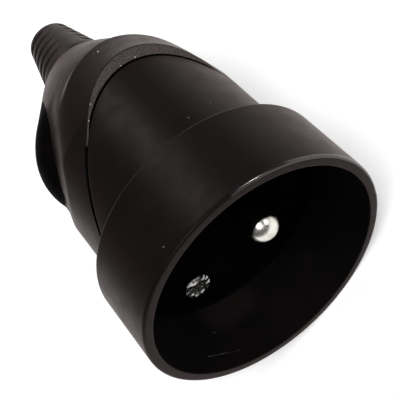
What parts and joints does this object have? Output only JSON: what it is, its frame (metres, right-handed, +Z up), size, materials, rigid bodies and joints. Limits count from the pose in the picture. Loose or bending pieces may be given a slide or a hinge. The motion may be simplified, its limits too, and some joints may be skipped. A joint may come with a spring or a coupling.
{
  "type": "female plug",
  "caption": "Rewireable female mains plug: round well with an earth pin and pin holes, body shells split along a slanted seam and a ribbed cable boot.",
  "frame": {"origin": "centre of the mouth of the well, on the plug's axis, in the plane of the collar's front rim", "axes": "+Y back along the axis towards the cable boot, +Z up as the plug lies on a flank, +X right as seen from the mouth, with the earth pin leaning 46.5 degrees from +Z towards +X"},
  "size_m": [0.0434, 0.0761, 0.0434],
  "materials": {
    "black_plastic": "fine satin mould texture",
    "boot_rubber": "matt soft moulding",
    "nickel": "bright nickel plating",
    "contact_brass": "plain pressed brass",
    "plated_steel": "bright zinc plating",
    "grey_plastic": "plain matt moulding"
  },
  "bodies": {
    "root": {"front_housing": "black_plastic", "rear_cover": "black_plastic", "cable_boot": "boot_rubber", "earth_pin": "nickel", "line_contact": "contact_brass", "neutral_contact": "contact_brass", "line_contact_spring": "plated_steel", "neutral_contact_spring": "plated_steel", "line_terminal_screw": "plated_steel", "neutral_terminal_screw": "plated_steel", "earth_terminal_screw": "plated_steel", "contact_retainer": "grey_plastic", "retainer_screws": "plated_steel", "cable_clamp_bar": "grey_plastic", "cable_clamp_screws": "plated_steel", "assembly_screw": "plated_steel", "assembly_insert": "contact_brass"}
  },
  "joints": []
}
